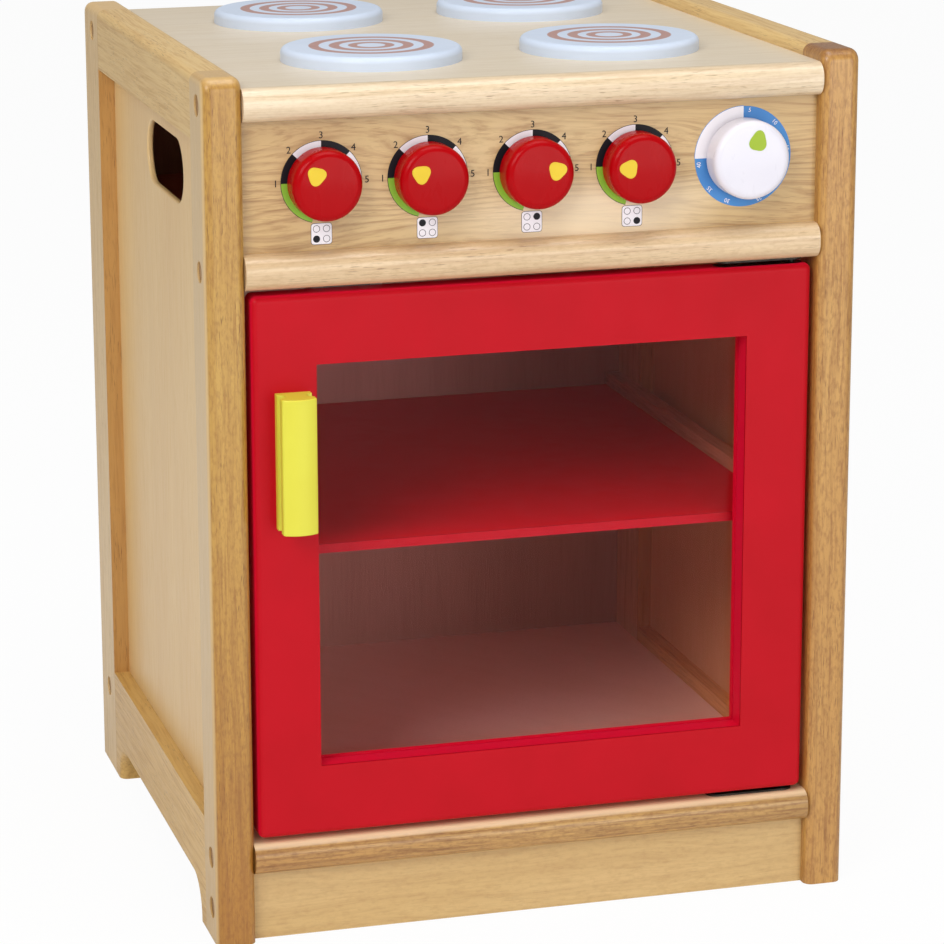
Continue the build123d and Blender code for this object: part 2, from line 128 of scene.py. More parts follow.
def build_wood_grain():
    """Grain that runs along Z of the place it is given: growth figure, fine streaks and open pores."""
    group, given, result = new_group(
        "wood_grain",
        [("Place", "Vector", None), ("Wander", "Float", 0.012), ("Band_Width", "Float", 0.007)],
        [("Figure", "Float"), ("Streak", "Float"), ("Pores", "Float"), ("Height", "Float")])
    place = given.outputs["Place"]
    slow = stretched(group, place, (1, 1, 0.2))
    drift = add(group, "TexNoise", None, Scale=20.0, Detail=2.0, Roughness=0.45)
    group.links.new(slow, drift.inputs["Vector"])
    centred = add(group, "VectorMath", {"operation": "SUBTRACT"}, _1=(0.5, 0.5, 0.5))
    group.links.new(drift.outputs[1], centred.inputs[0])
    sway = add(group, "VectorMath", {"operation": "SCALE"})
    group.links.new(centred.outputs[0], sway.inputs[0])
    group.links.new(given.outputs["Wander"], sway.inputs["Scale"])
    moved = add(group, "VectorMath", {"operation": "ADD"})
    group.links.new(slow, moved.inputs[0])
    group.links.new(sway.outputs[0], moved.inputs[1])
    parts = axes(group, moved.outputs[0])
    across = combine(group, "ADD", parts[0], combine(group, "MULTIPLY", parts[1], 0.83))
    rings = combine(group, "DIVIDE", across, given.outputs["Band_Width"])
    saw = combine(group, "FRACT", rings)
    late_wood = 0.82
    line = remap(group, saw, 0.0, late_wood)
    fade = remap(group, saw, late_wood, 1.0, 1.0, 0.0)
    band = combine(group, "MULTIPLY", combine(group, "POWER", line, 3.4), fade)
    patchy = noise(group, stretched(group, place, (1, 1, 0.1)), 26.0, 2.0)
    figure = combine(group, "MULTIPLY", band, remap(group, patchy, 0.3, 0.7, 0.15, 1.0))
    streak = noise(group, stretched(group, moved.outputs[0], (1, 1, 0.2)), 620.0, 4.0, 0.6)
    dashes = noise(group, stretched(group, place, (1, 1, 0.055)), 2100.0, 1.0, 0.4)
    where = noise(group, stretched(group, place, (1, 1, 0.3)), 60.0, 2.0)
    pores = combine(group, "MULTIPLY", remap(group, dashes, 0.62, 0.72),
                    remap(group, where, 0.38, 0.60))
    height = combine(group, "SUBTRACT", combine(group, "MULTIPLY", streak, 0.35), pores)
    effects = (("Figure", figure), ("Streak", streak), ("Pores", pores), ("Height", height))
    for label, value in effects:
        group.links.new(value, result.inputs[label])
    return group


wood_grain = build_wood_grain()
GRAIN_UP = (0, 0, 0)
GRAIN_ACROSS = (0, math.radians(90), 0)
GRAIN_BACK = (math.radians(90), 0, 0)


def start_material(name):
    """A node material with its Principled shader and its object place."""
    material = bpy.data.materials.new(name)
    material.use_nodes = True
    tree = material.node_tree
    shader = tree.nodes["Principled BSDF"]
    place = tree.nodes.new("ShaderNodeTexCoord").outputs["Object"]
    return material, tree, shader, place


def raise_surface(tree, shader, height, strength, distance):
    """Feeds a height to the shader's normal."""
    bump = add(tree, "Bump", None, Strength=strength, Distance=distance)
    tree.links.new(height, bump.inputs["Height"])
    tree.links.new(bump.outputs["Normal"], shader.inputs["Normal"])


def colour_so_far(material):
    """A material's tree, its shader, its object place and the colour that it has so far."""
    tree = material.node_tree
    shader = tree.nodes["Principled BSDF"]
    place = tree.nodes["Texture Coordinate"].outputs["Object"]
    return tree, shader, place, shader.inputs["Base Color"].links[0].from_socket


def wood(name, turn, pale, warm, dark, figure=0.55, streaks=0.5, pores=0.6, bands=0.007, wander=0.012,
         shift=(0, 0, 0), fleck=0.0, gloss=0.25):
    """A satin lacquered wood with its grain turned the given way; three tones, 0 to 255."""
    material, tree, shader, place = start_material(name)
    pale, warm, dark = colour(*pale), colour(*warm), colour(*dark)
    pore_tone = (dark[0] * 0.42, dark[1] * 0.34, dark[2] * 0.26, 1.0)
    grain = tree.nodes.new("ShaderNodeGroup")
    grain.node_tree = wood_grain
    grain.inputs["Band_Width"].default_value = bands
    grain.inputs["Wander"].default_value = wander
    along = stretched(tree, place, (1, 1, 1), shift, turn)
    tree.links.new(along, grain.inputs["Place"])
    broad = noise(tree, stretched(tree, along, (1, 1, 0.2)), 11.0, 2.0)
    body = blend_colours(tree, remap(tree, broad, 0.32, 0.68), pale, warm)
    lines = combine(tree, "MULTIPLY", grain.outputs["Figure"], figure)
    body = blend_colours(tree, lines, body, dark)
    thin = combine(tree, "MULTIPLY", remap(tree, grain.outputs["Streak"], 0.46, 0.70), streaks)
    body = blend_colours(tree, thin, body, dark)
    open_pores = combine(tree, "MULTIPLY", grain.outputs["Pores"], pores)
    body = blend_colours(tree, open_pores, body, pore_tone)
    if fleck:
        ripple = noise(tree, stretched(tree, along, (1, 1, 0.42)), 520.0, 2.0, 0.6)
        specks = combine(tree, "MULTIPLY", remap(tree, ripple, 0.46, 0.68), fleck)
        body = blend_colours(tree, specks, body, dark)
    tree.links.new(body, shader.inputs["Base Color"])
    rough = remap(tree, grain.outputs["Streak"], 0.3, 0.75, 0.36, 0.52)
    tree.links.new(rough, shader.inputs["Roughness"])
    raise_surface(tree, shader, grain.outputs["Height"], 0.22, 0.0004)
    shader.inputs["Coat Weight"].default_value = gloss
    shader.inputs["Coat Roughness"].default_value = 0.18
    return material


def dress(material, slot, *names):
    """Gives CAD nodes one material; the slot argument is not used."""
    for name in names:
        piece = nodes[name]
        piece.data.materials.clear()
        piece.data.materials.append(material)


left_post_wood = wood("left_post_wood", GRAIN_UP, (194, 153, 72), (180, 133, 53), (134, 80, 26),
                      figure=0.4, streaks=0.5, pores=0.85, bands=0.009, fleck=0.35, gloss=0.4)
right_post_wood = wood("right_post_wood", GRAIN_UP, (201, 154, 82), (187, 136, 66), (136, 82, 30),
                       figure=0.45, streaks=0.55, pores=0.75, bands=0.008, shift=(0.013, 0.02, 0.3),
                       fleck=0.45, gloss=0.4)
rear_post_wood = wood("rear_post_wood", GRAIN_UP, (225, 194, 141), (219, 183, 124), (184, 138, 82),
                      figure=0.3, streaks=0.4, bands=0.010, shift=(0.05, 0.01, 0.1))
side_rail_wood = wood("side_rail_wood", GRAIN_BACK, (230, 195, 128), (219, 181, 112), (180, 130, 68),
                      figure=0.4, streaks=0.5, pores=0.65, bands=0.007)
side_sheet_wood = wood("side_sheet_wood", GRAIN_UP, (231, 197, 139), (224, 186, 127), (201, 160, 102),
                       figure=0.12, streaks=0.2, pores=0.15, bands=0.03, wander=0.03)


def tone_span(material, axis, low, high, stain, mode="MULTIPLY", most=1.0):
    """Changes the tone along one axis: full before the low value, none past the high one."""
    tree, shader, place, body = colour_so_far(material)
    share = remap(tree, axes(tree, place)[axis], low, high, most, 0.0)
    tree.links.new(blend_colours(tree, share, body, stain, mode), shader.inputs["Base Color"])


X, Y, Z = 0, 1, 2
SKIN_OUT, SKIN_IN = 0.1994, 0.1985
CROWN_TOP, CROWN_FOOT = 0.5248, 0.5195
groove_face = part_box("left_rear_post")[0].y
# The rear posts' front face beside the recessed side panel is darkened: painted shade in that recess.
tone_span(rear_post_wood, Y, groove_face + 0.0002, groove_face + 0.0016, (0.72, 0.55, 0.34, 1))
# Darker and warmer towards the foot: painted shade near the floor, partly the wood's own tone.
tone_span(left_post_wood, Z, 0.02, 0.34, (0.90, 0.76, 0.60, 1))
tone_span(left_post_wood, X, -SKIN_OUT, -SKIN_IN, colour(222, 192, 142), "MIX", 0.75)
# A second darkening towards the foot: painted shade near the floor, partly the wood's own tone.
tone_span(left_post_wood, Z, 0.00, 0.30, (0.92, 0.88, 0.74, 1))
tone_span(right_post_wood, X, SKIN_OUT, SKIN_IN, colour(218, 186, 136), "MIX", 0.45)
for post_wood in (left_post_wood, rear_post_wood):
    tone_span(post_wood, Z, CROWN_TOP, CROWN_FOOT, colour(220, 182, 120), "MIX", 0.7)
tone_span(right_post_wood, Z, CROWN_TOP, CROWN_FOOT, (0.62, 0.50, 0.38, 1))
tone_span(side_rail_wood, Z, 0.06, 0.40, (0.92, 0.86, 0.70, 1))
dress(left_post_wood, "solid_wood", "left_front_post")
dress(right_post_wood, "solid_wood", "right_front_post")
dress(rear_post_wood, "solid_wood", "left_rear_post", "right_rear_post")
dress(side_rail_wood, "solid_wood",
      "left_top_rail", "right_top_rail", "left_bottom_rail", "right_bottom_rail")
dress(side_sheet_wood, "plywood", "left_side_panel", "right_side_panel")

# Wooden plugs ----------------------------------------------------------------------------------
# Cross-cut dowel plugs glued over the screws of the cross members. Their end grain drinks the
# lacquer and shows darker than the post round them, with small rings; part of that darkness is
# painted shade, standing in for the recess round each plug.
plug_wood = wood("plug_wood", GRAIN_ACROSS, (166, 126, 80), (150, 110, 66), (98, 64, 34),
                 figure=0.5, streaks=0.6, pores=0.6, bands=0.003)
dress(plug_wood, "plug_wood", "left_plugs", "right_plugs")

# Cross rails, sill and plinth ------------------------------------------------------------------
# Bullnosed rails between the sides, with the grain across: the hob's nosing, the rail over the
# door, the sill under it and the plain plinth board below, all screwed through the posts.
nosing_wood = wood("nosing_wood", GRAIN_ACROSS, (236, 218, 189), (223, 198, 161), (182, 145, 101),
                   figure=0.35, streaks=0.4, bands=0.010, fleck=0.15, gloss=0.6)
rail_wood = wood("rail_wood", GRAIN_ACROSS, (227, 200, 161), (211, 180, 137), (166, 125, 81),
                 figure=0.4, streaks=0.32, bands=0.008, shift=(0.4, 0.02, 0.03), fleck=0.2, gloss=0.6)
sill_wood = wood("sill_wood", GRAIN_ACROSS, (202, 160, 94), (183, 142, 80), (126, 80, 38),
                 figure=0.7, streaks=0.7, bands=0.005, shift=(0.33, 0.06, 0.01), fleck=0.4, gloss=0.35)
plinth_wood = wood("plinth_wood", GRAIN_ACROSS, (217, 185, 130), (203, 169, 110), (165, 123, 73),
                   figure=0.25, streaks=0.25, pores=0.12, bands=0.013, wander=0.03,
                   shift=(0.2, 0.0, 0.06), fleck=0.2)
dress(nosing_wood, "solid_wood", "top_nosing")
dress(rail_wood, "solid_wood", "middle_rail")
sill_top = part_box("sill")[1].z
tone_span(sill_wood, X, -0.17, 0.02, (0.88, 0.78, 0.66, 1))
# Paler band along the sill's top edge: a painted highlight on its rounded top.
tone_span(sill_wood, Z, sill_top - 0.0008, sill_top - 0.0030, colour(232, 204, 162), "MIX")
dress(sill_wood, "solid_wood", "sill")
dress(plinth_wood, "solid_wood", "plinth")

# Control panel ---------------------------------------------------------------------------------
# A thin solid board behind the knobs. It was sawn nearer the bark, so it is browner than the
# rails and shows a wandering cathedral figure with a few dark pore dashes.
panel_wood = wood("panel_wood", GRAIN_ACROSS, (220, 192, 141), (197, 164, 108), (148, 104, 58),
                  figure=0.5, streaks=0.5, pores=0.3, bands=0.006, wander=0.055, shift=(0.1, 0.03, 0.0))


def cloud_panel(material):
    """Broad drift along the board: browner towards both ends, paler at the middle's foot."""
    tree, shader, place, body = colour_so_far(material)
    split = axes(tree, place)
    drift = noise(tree, stretched(tree, place, (0.5, 1, 1), (0.3, 0, 0.1)), 14.0, 2.0, 0.5, 0.6)
    along = combine(tree, "ADD", split[X], combine(tree, "MULTIPLY", drift, 0.10))
    brown = remap(tree, along, -0.09, 0.00, 0.85, 0.0)
    body = blend_colours(tree, brown, body, (0.86, 0.77, 0.64, 1), "MULTIPLY")
    low = combine(tree, "ADD", split[Z], combine(tree, "MULTIPLY", drift, 0.03))
    pale = combine(tree, "MULTIPLY", remap(tree, low, 0.452, 0.468, 1.0, 0.0),
                   remap(tree, along, -0.02, 0.06))
    pale = combine(tree, "MULTIPLY", pale, remap(tree, along, 0.11, 0.16, 1.0, 0.0))
    brown = remap(tree, along, 0.13, 0.19, 0.0, 0.7)
    body = blend_colours(tree, brown, body, (0.92, 0.84, 0.74, 1), "MULTIPLY")
    body = blend_colours(tree, combine(tree, "MULTIPLY", pale, 0.7), body, colour(240, 218, 184))
    tree.links.new(body, shader.inputs["Base Color"])


cloud_panel(panel_wood)
dress(panel_wood, "solid_wood", "control_panel")

# Hob board -------------------------------------------------------------------------------------
# The flat top between the sides, a pale veneered plywood board with its grain across, sealed with
# a satin lacquer that takes a soft light.
hob_wood = wood("hob_wood", GRAIN_ACROSS, (226, 212, 190), (221, 205, 178), (196, 172, 138),
                figure=0.2, streaks=0.25, pores=0.15, bands=0.022)
dress(hob_wood, "plywood", "top_board")

# Hob discs -------------------------------------------------------------------------------------
# Four turned discs in pale blue satin paint, each with three rings printed on its face, screwed
# on from below.
front_low, front_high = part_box("front_right_burner")
rear_low, rear_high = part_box("rear_right_burner")
BURNER_X = (front_low.x + front_high.x) / 2
BURNER_FRONT = (front_low.y + front_high.y) / 2
BURNER_REAR = (rear_low.y + rear_high.y) / 2


def build_paint_film():
    """Brushed or sprayed paint: a faint cloudiness, a fine orange peel and specks of dust."""
    group, given, result = new_group(
        "paint_film", [("Place", "Vector", None)],
        [("Cloud", "Float"), ("Gloss_Break", "Float"), ("Height", "Float")])
    place = given.outputs["Place"]
    cloud = remap(group, noise(group, place, 22.0, 3.0, 0.55), 0.3, 0.7)
    smear = remap(group, noise(group, stretched(group, place, (1, 1, 0.35)), 90.0, 3.0, 0.6), 0.35, 0.7)
    peel = noise(group, place, 700.0, 2.0, 0.5)
    dust = remap(group, noise(group, place, 1900.0, 0.0, 0.5), 0.72, 0.80)
    height = combine(group, "ADD", combine(group, "MULTIPLY", peel, 0.6),
                     combine(group, "MULTIPLY", dust, 0.5))
    for label, value in (("Cloud", cloud), ("Gloss_Break", smear), ("Height", height)):
        group.links.new(value, result.inputs[label])
    return group


paint_film = build_paint_film()


def paint(name, main, second, low_rough, high_rough, bump=0.12, coat=0.0, shine=0.3, polish=0.2):
    """A painted finish that drifts between two close colours, 0 to 255."""
    material, tree, shader, place = start_material(name)
    film = tree.nodes.new("ShaderNodeGroup")
    film.node_tree = paint_film
    tree.links.new(place, film.inputs["Place"])
    body = blend_colours(tree, film.outputs["Cloud"], colour(*main), colour(*second))
    tree.links.new(body, shader.inputs["Base Color"])
    rough = remap(tree, film.outputs["Gloss_Break"], 0.0, 1.0, low_rough, high_rough)
    tree.links.new(rough, shader.inputs["Roughness"])
    raise_surface(tree, shader, film.outputs["Height"], bump, 0.0003)
    shader.inputs["Specular IOR Level"].default_value = shine
    shader.inputs["Coat Weight"].default_value = coat
    shader.inputs["Coat Roughness"].default_value = polish
    return material


def print_rings(material):
    """Three ring bands round each disc's centre, printed in a dusty red brown."""
    tree, shader, place, body = colour_so_far(material)
    split = axes(tree, place)
    middle = (BURNER_FRONT + BURNER_REAR) / 2
    half = (BURNER_REAR - BURNER_FRONT) / 2
    blur = 0.0002
    side = combine(tree, "SUBTRACT", combine(tree, "ABSOLUTE", split[X]), BURNER_X)
    depth = combine(tree, "ABSOLUTE", combine(tree, "SUBTRACT", split[Y], middle))
    depth = combine(tree, "SUBTRACT", depth, half)
    reach = combine(tree, "SQRT", combine(tree, "ADD", combine(tree, "MULTIPLY", side, side),
                                          combine(tree, "MULTIPLY", depth, depth)))
    mask = None
    for outer, inner in ((0.0377, 0.0316), (0.0255, 0.0192), (0.0140, 0.0085)):
        ring = combine(tree, "MULTIPLY", remap(tree, reach, inner - blur, inner + blur),
                       remap(tree, reach, outer - blur, outer + blur, 1.0, 0.0))
        mask = ring if mask is None else combine(tree, "ADD", mask, ring)
    speckle = remap(tree, noise(tree, place, 900.0, 2.0), 0.3, 0.7)
    ink = blend_colours(tree, speckle, colour(186, 146, 136), colour(170, 130, 124))
    tree.links.new(blend_colours(tree, mask, body, ink), shader.inputs["Base Color"])


disc_paint = paint("disc_paint", (208, 219, 236), (202, 214, 232), 0.34, 0.48)
print_rings(disc_paint)
dress(disc_paint, "blue_painted_wood",
      "front_left_burner", "front_right_burner", "rear_left_burner", "rear_right_burner")

# Oven interior ---------------------------------------------------------------------------------
# A thin darker plywood back, a plywood floor board and two grooved battens that carry a thin shelf
# painted red like the door. The board over the oven, seen through the hand holes, is stained rose.
# The oven floor's plywood is coloured near white, paler than the other plywood: painted light on the
# oven floor.
oven_floor_lit_wood = wood("oven_floor_lit_wood", GRAIN_UP, (252, 238, 214), (247, 228, 198), (222, 194, 156),
                   figure=0.1, streaks=0.14, pores=0.12, bands=0.03)
batten_wood = wood("batten_wood", GRAIN_BACK, (214, 182, 136), (204, 166, 118), (160, 114, 68),
                   figure=0.35, streaks=0.5, bands=0.008)
back_wood = wood("back_wood", GRAIN_UP, (184, 152, 124), (172, 138, 110), (138, 104, 78),
                 figure=0.12, streaks=0.2, pores=0.12, bands=0.03, wander=0.02)
ceiling_wood = wood("ceiling_wood", GRAIN_ACROSS, (228, 132, 118), (218, 122, 106), (176, 84, 72),
                    figure=0.2, streaks=0.3, pores=0.2, bands=0.02)
dress(oven_floor_lit_wood, "plywood", "bottom_board")
dress(back_wood, "plywood", "back_panel")
dress(ceiling_wood, "plywood", "oven_ceiling")
dress(batten_wood, "solid_wood", "left_shelf_batten", "right_shelf_batten")
# The shelf's red is brighter than the door's same paint: painted light inside the oven.
shelf_lit_paint = paint("shelf_lit_paint", (216, 14, 36), (213, 12, 34), 0.45, 0.51, bump=0.05, shine=0.2)
shelf_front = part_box("shelf")[0].y
# The shelf's front edge is darkened: painted shade in the gap behind the door.
tone_span(shelf_lit_paint, Y, shelf_front + 0.0004, shelf_front + 0.0024, (0.66, 0.50, 0.70, 1))
dress(shelf_lit_paint, "red_painted_wood", "shelf")

# Door ------------------------------------------------------------------------------------------
# One board with rounded edges and a square window cut through it, sprayed in red satin paint.
# Four beads hold the pane from behind, painted with the door.
door_paint = paint("door_paint", (188, 2, 24), (181, 1, 20), 0.42, 0.48,
                   bump=0.08, coat=0.03, shine=0.15)
door_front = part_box("door_frame")[0].y
# Paint behind the door's front face, on the window's reveals, the rounded edges, the back and the beads,
# is a brighter pink red: a painted highlight.
tone_span(door_paint, Y, door_front + 0.0026, door_front + 0.0010, colour(226, 16, 54), "MIX")
dress(door_paint, "red_painted_wood", "door_frame", "window_beads")

# Window pane -----------------------------------------------------------------------------------
# A flat sheet of acrylic, a touch hazy from wiping, that lets the room's light into the oven. Its
# rose tint is partly the sheet's own slight tint and partly painted red reflection. It sits in the
# door's rebate, and the beads hold it from behind.


def send_mix(tree, share, first, second, surface):
    """Mixes two shaders by a share and sends the result to an output."""
    mix = add(tree, "MixShader")
    for socket, value in zip(mix.inputs, (share, first, second)):
        tree.links.new(value, socket)
    tree.links.new(mix.outputs[0], surface)


def pane():
    """Tinted acrylic with wiped smears in its gloss; lamps shine through it."""
    material, tree, shader, place = start_material("tinted_acrylic")
    smears = noise(tree, stretched(tree, place, (1, 1, 0.4)), 30.0, 4.0, 0.6)
    # Rose tint: partly the acrylic's own tint, partly painted red reflection.
    shader.inputs["Base Color"].default_value = (1.0, 0.70, 0.80, 1)
    shader.inputs["Transmission Weight"].default_value = 1.0
    shader.inputs["IOR"].default_value = 1.16
    tree.links.new(remap(tree, smears, 0.3, 0.7, 0.0, 0.012), shader.inputs["Roughness"])
    raise_surface(tree, shader, noise(tree, place, 8.0, 1.0), 0.01, 0.0001)
    path = tree.nodes.new("ShaderNodeLightPath")
    open_way = combine(tree, "MAXIMUM", path.outputs["Is Shadow Ray"], path.outputs["Is Diffuse Ray"])
    clear = add(tree, "BsdfTransparent", None, Color=(1.0, 0.96, 0.96, 1))
    send_mix(tree, open_way, shader.outputs[0], clear.outputs[0],
             tree.nodes["Material Output"].inputs["Surface"])
    return material


dress(pane(), "clear_pane", "door_window")

# Door pull -------------------------------------------------------------------------------------
# A short moulded bar of hardwood painted yellow, waisted for the fingers. Two screws hold it
# through the door's stile from behind.
pull_paint = paint("pull_paint", (219, 214, 71), (215, 207, 65), 0.34, 0.46, coat=0.02)
dress(pull_paint, "yellow_painted_wood", "door_handle")

# Steel fittings --------------------------------------------------------------------------------
# Zinc-plated screws, washers and the catch's strike, slightly cloudy from the plating bath. The
# pivot plates and their screws are coloured near black as painted shade, so that they read as the
# door's dark gaps and hardly show there.


def metal(name, main, second, low_rough, high_rough):
    """A plated steel with fine rolling marks and cloudy spots; colours 0 to 255."""
    material, tree, shader, place = start_material(name)
    cloud = remap(tree, noise(tree, place, 180.0, 3.0), 0.3, 0.7)
    marks = noise(tree, stretched(tree, place, (0.08, 1, 1)), 2600.0, 2.0)
    body = blend_colours(tree, cloud, colour(*main), colour(*second))
    tree.links.new(body, shader.inputs["Base Color"])
    shader.inputs["Metallic"].default_value = 1.0
    rough = remap(tree, cloud, 0.0, 1.0, low_rough, high_rough)
    tree.links.new(rough, shader.inputs["Roughness"])
    raise_surface(tree, shader, marks, 0.1, 0.0002)
    return material


steel = metal("plated_steel", (196, 196, 192), (172, 174, 174), 0.30, 0.44)
dress(steel, "steel",
      "back_screws", "batten_screws", "burner_screws", "catch_poles", "handle_screws",
      "knob_1_screw", "knob_2_screw", "knob_3_screw", "knob_4_screw", "timer_knob_screw",
      "knob_washers", "left_frame_screws", "right_frame_screws", "strike_plate")
gap_shade_steel = metal("gap_shade_steel", (70, 64, 60), (52, 48, 46), 0.38, 0.55)
dress(gap_shade_steel, "steel",
      "door_pivot_plates", "door_plate_screws", "frame_plate_screws", "lower_pivot_plate",
      "upper_pivot_plate")

# Magnet catch ----------------------------------------------------------------------------------
# A small moulded block of white plastic under the rail, faintly grained by its mould. Two thin
# steel pole strips stand out of its face and meet the strike plate on the door's back.
catch_plastic = paint("catch_plastic", (232, 230, 224), (224, 222, 214), 0.42, 0.55)
dress(catch_plastic, "white_plastic", "magnet_catch")

# Knobs -----------------------------------------------------------------------------------------
# Turned wooden knobs on a screw through the board: four in the door's red and one white timer.
# Each carries a small rounded three-cornered pointer, printed on its face.
knob_paint = paint("knob_paint", (171, 0, 8), (165, 0, 7), 0.24, 0.36,
                   bump=0.08, coat=0.06, shine=0.08, polish=0.07)
timer_paint = paint("timer_paint", (228, 225, 233), (222, 219, 229), 0.26, 0.38,
                    bump=0.08, coat=0.2, polish=0.07)
dress(knob_paint, "red_painted_wood", "knob_1", "knob_2", "knob_3", "knob_4")
dress(timer_paint, "white_painted_wood", "timer_knob")
yellow_ink = paint("yellow_ink", (228, 196, 44), (220, 186, 36), 0.30, 0.42)
green_ink = paint("green_ink", (160, 186, 48), (152, 178, 44), 0.30, 0.42)


def finish_piece(name, shape, material, body):
    """Makes an object of a shape, at the origin, riding on a body."""
    bmesh.ops.recalc_face_normals(shape, faces=shape.faces)
    mesh = bpy.data.meshes.new(name)
    shape.to_mesh(mesh)
    shape.free()
    mesh.materials.append(material)
    made = bpy.data.objects.new(name, mesh)
    bpy.context.scene.collection.objects.link(made)
    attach(made, body)


def print_shape(name, shape, thick, place, material, body="cabinet"):
    """Thickens a flat shape, drawn in X and Z, towards the front and stands it at a place."""
    moved = bmesh.ops.extrude_face_region(shape, geom=list(shape.faces))
    verts = [item for item in moved["geom"] if isinstance(item, bmesh.types.BMVert)]
    bmesh.ops.translate(shape, verts=verts, vec=(0, -thick, 0))
    bmesh.ops.translate(shape, verts=shape.verts, vec=place)
    finish_piece(name, shape, material, body)


def disc(radius, segments):
    """A flat disc in X and Z."""
    shape = bmesh.new()
    bmesh.ops.create_circle(shape, cap_ends=True, radius=radius, segments=segments)
    bmesh.ops.rotate(shape, verts=shape.verts, matrix=Matrix.Rotation(math.radians(90), 3, "X"))
    return shape


def pointer(tip_reach, base_reach, tip_angle, slim):
    """A rounded three-cornered mark whose tip looks out along an angle."""
    shape = disc(1.0, 48)
    middle = (tip_reach + base_reach * math.cos(math.radians(45))) / 2 - 0.0010
    size = tip_reach - middle
    bend = math.radians(tip_angle)
    corner_pull = 0.10
    for vertex in shape.verts:
        turn = math.atan2(vertex.co.z, vertex.co.x)
        reach = size * (1.0 - corner_pull + corner_pull * math.cos(3 * turn))
        out = middle + reach * math.cos(turn)
        side = slim * reach * math.sin(turn)
        vertex.co.x = out * math.cos(bend) - side * math.sin(bend)
        vertex.co.z = out * math.sin(bend) + side * math.cos(bend)
    return shape


KNOB_X = (-0.1283, -0.0646, -0.0009, 0.0623)
KNOB_Z = 0.461
TIMER_X = 0.1298
TIMER_Z = 0.4627
POINTER_THICK = 0.00055
POINTER_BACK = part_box("knob_1")[0].y + 0.00045
for index, (x, angle) in enumerate(zip(KNOB_X, (137, 153, 14, 174)), 1):
    print_shape(f"knob_{index}_pointer", pointer(0.0157, 0.0084, angle, 1.0), POINTER_THICK,
                (x, POINTER_BACK, KNOB_Z), yellow_ink, f"turning_knob_{index}")
print_shape("timer_pointer", pointer(0.0186, 0.0102, 77, 0.86), POINTER_THICK,
            (TIMER_X, POINTER_BACK, TIMER_Z), green_ink, "turning_timer")

# Printed dials ---------------------------------------------------------------------------------
# Screen-printed on the board under each knob: a ring of black, white and green sectors with the
# settings 1 to 5, a small square key that names the hob disc, and a white and blue timer ring.
BOARD_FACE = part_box("control_panel")[0].y
INK_THICK = 0.00012
INK_GAP = 0.00002
black_ink = paint("black_ink", (24, 21, 27), (30, 27, 33), 0.38, 0.52, shine=0.15)
white_ink = paint("white_ink", (242, 238, 242), (235, 230, 236), 0.36, 0.50)
green_print = paint("green_print", (146, 190, 50), (130, 176, 60), 0.38, 0.52)
blue_ink = paint("blue_ink", (78, 146, 208), (66, 128, 196), 0.38, 0.52)


def ring_sector(inner, outer, start, end):
    """A flat band between two radii and two angles, counted from +X towards +Z."""
    shape = bmesh.new()
    first = shape.verts.new((inner, 0, 0))
    second = shape.verts.new((outer, 0, 0))
    edge = shape.edges.new((first, second))
    bmesh.ops.rotate(shape, verts=shape.verts, matrix=Matrix.Rotation(-math.radians(start), 3, "Y"))
    steps = max(3, int(abs(end - start) / 4))
    full = end - start == 360
    bmesh.ops.spin(shape, geom=[first, second, edge], cent=(0, 0, 0), axis=(0, -1, 0),
                   angle=math.radians(end - start), steps=steps, use_merge=full)
    return shape


def print_sector(name, x, z, inner, outer, start, end, material):
    """Prints one band on the board."""
    print_shape(name, ring_sector(inner, outer, start, end), INK_THICK,
                (x, BOARD_FACE - INK_GAP, z), material)


def print_text(name, words, height, x, z, material, turn=0.0, lift=INK_GAP):
    """Prints a number, centred on a point of the board."""
    curve = bpy.data.curves.new(name, "FONT")
    curve.body = words
    digit_share = 1.38
    curve.size = height * digit_share
    curve.align_x = "CENTER"
    curve.align_y = "CENTER"
    curve.extrude = INK_THICK / 2
    curve.resolution_u = 3
    lettering = bpy.data.objects.new(name, curve)
    bpy.context.scene.collection.objects.link(lettering)
    mesh = bpy.data.meshes.new_from_object(lettering)
    bpy.data.objects.remove(lettering)
    mesh.transform(Matrix.Translation((x, BOARD_FACE - lift - INK_THICK / 2, z))
                   @ Matrix.Rotation(-math.radians(turn), 4, "Y")
                   @ Matrix.Rotation(math.radians(90), 4, "X"))
    shape = bmesh.new()
    shape.from_mesh(mesh)
    bpy.data.meshes.remove(mesh)
    bmesh.ops.remove_doubles(shape, verts=shape.verts, dist=1e-7)
    finish_piece(name, shape, material, "cabinet")


RING_IN = 0.0195
RING_OUT = 0.0240
RING_LINE = 0.0003
NUMBER_REACH = 0.0272
sectors = [("low", 135, 180, black_ink), ("second", 90, 135, white_ink), ("third", 45, 90, black_ink),
           ("fourth", 0, 45, white_ink), ("off", 180, 256, green_print)]
for index, x in enumerate(KNOB_X, 1):
    for label, start, end, ink in sectors:
        print_sector(f"dial_{index}_{label}", x, KNOB_Z, RING_IN, RING_OUT, start, end, ink)
    print_sector(f"dial_{index}_outline", x, KNOB_Z, RING_OUT, RING_OUT + RING_LINE, 0, 256, black_ink)
    for number in range(1, 6):
        angle = math.radians(180 - 45 * (number - 1))
        print_text(f"dial_{index}_number_{number}", str(number), 0.0042,
                   x + NUMBER_REACH * math.cos(angle), KNOB_Z + NUMBER_REACH * math.sin(angle),
                   black_ink)

KEY_SIZE = 0.0122
KEY_LEVEL = 0.4306
KEY_STEP = 0.0030
MARK_RADIUS = 0.0021
key_marks = [(-0.1286, (-1, -1)), (-0.0650, (-1, 1)), (-0.0013, (1, 1)), (0.0607, (1, -1))]


def rounded_square(size, corner):
    """A flat square in X and Z with rounded corners."""
    shape = bmesh.new()
    bmesh.ops.create_grid(shape, x_segments=1, y_segments=1, size=size / 2)
    bmesh.ops.rotate(shape, verts=shape.verts, matrix=Matrix.Rotation(math.radians(90), 3, "X"))
    bmesh.ops.bevel(shape, geom=list(shape.verts), offset=corner, segments=5, profile=0.5,
                    affect="VERTICES", material=-1)
    return shape


